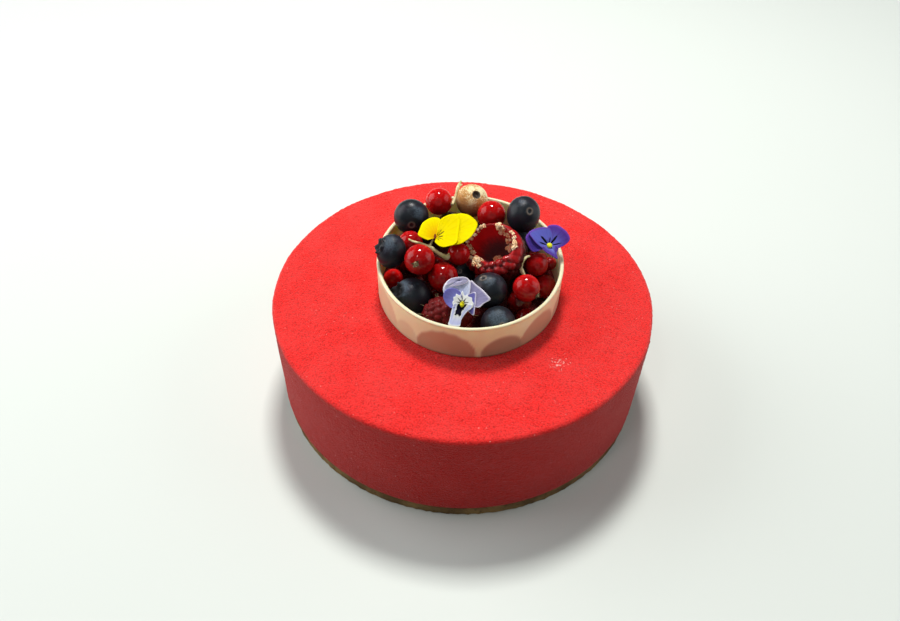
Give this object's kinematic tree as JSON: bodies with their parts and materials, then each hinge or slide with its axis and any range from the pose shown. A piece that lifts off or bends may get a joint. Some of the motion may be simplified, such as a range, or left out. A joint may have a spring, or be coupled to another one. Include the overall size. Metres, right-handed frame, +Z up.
{
  "type": "mousse cake",
  "caption": "Round mousse cake with a red velvet coat and an oval chocolate ring filled with berries, a gilded open raspberry and violas.",
  "frame": {"origin": "centre of the cake's underside, on the surface it stands on", "axes": "+Z up out of the cake's top, -Y towards the side that faces the camera, +X to its right"},
  "size_m": [0.16, 0.16, 0.0792],
  "materials": {
    "biscuit": "matte baked biscuit",
    "red_velvet": "matte fine-grained cocoa-butter velvet",
    "blond_chocolate": "smooth satin chocolate",
    "blueberry_skin": "satin with a faint pale bloom",
    "redcurrant_skin": "glossy translucent",
    "raspberry_flesh": "moist, gold leaf on its rim",
    "gold_dust": "metallic gold flecks on brown",
    "currant_stalk": "matte",
    "yellow_petal": "matte petal, dark lines at the throat",
    "violet_petal": "matte petal, dark rays at a yellow throat",
    "lavender_petal": "matte petal, white and dark rays at a yellow throat"
  },
  "bodies": {
    "root": {"biscuit_base": "biscuit", "blueberry_back_left": "blueberry_skin", "blueberry_back_right": "blueberry_skin", "blueberry_centre_front": "blueberry_skin", "blueberry_front": "blueberry_skin", "blueberry_front_left": "blueberry_skin", "blueberry_left": "blueberry_skin", "blueberry_low_right": "blueberry_skin", "blueberry_middle": "blueberry_skin", "blueberry_under_back": "blueberry_skin", "blueberry_under_back_left": "blueberry_skin", "blueberry_under_back_right": "blueberry_skin", "blueberry_under_middle": "blueberry_skin", "blueberry_under_right": "blueberry_skin", "chocolate_ring": "blond_chocolate", "currant_back_left": "redcurrant_skin", "currant_back_right": "redcurrant_skin", "currant_centre_left": "redcurrant_skin", "currant_centre_small": "redcurrant_skin", "currant_front_right": "redcurrant_skin", "currant_front_right_low": "redcurrant_skin", "currant_left": "redcurrant_skin", "currant_left_back": "redcurrant_skin", "currant_left_front": "redcurrant_skin", "currant_low_centre": "redcurrant_skin", "currant_low_front": "redcurrant_skin", "currant_low_left": "redcurrant_skin", "currant_low_middle": "redcurrant_skin", "currant_low_right": "redcurrant_skin", "currant_right": "redcurrant_skin", "currant_right_low": "redcurrant_skin", "currant_right_small": "redcurrant_skin", "currant_stalk_back": "currant_stalk", "currant_stalk_left": "currant_stalk", "currant_stalk_right": "currant_stalk", "currant_under_left": "redcurrant_skin", "currant_under_right": "redcurrant_skin", "gold_dusted_berry": "gold_dust", "raspberry_front": "raspberry_flesh", "raspberry_open": "raspberry_flesh", "velvet_cake": "red_velvet", "viola_lavender": "lavender_petal", "viola_violet": "violet_petal", "viola_yellow": "yellow_petal"}
  },
  "joints": []
}
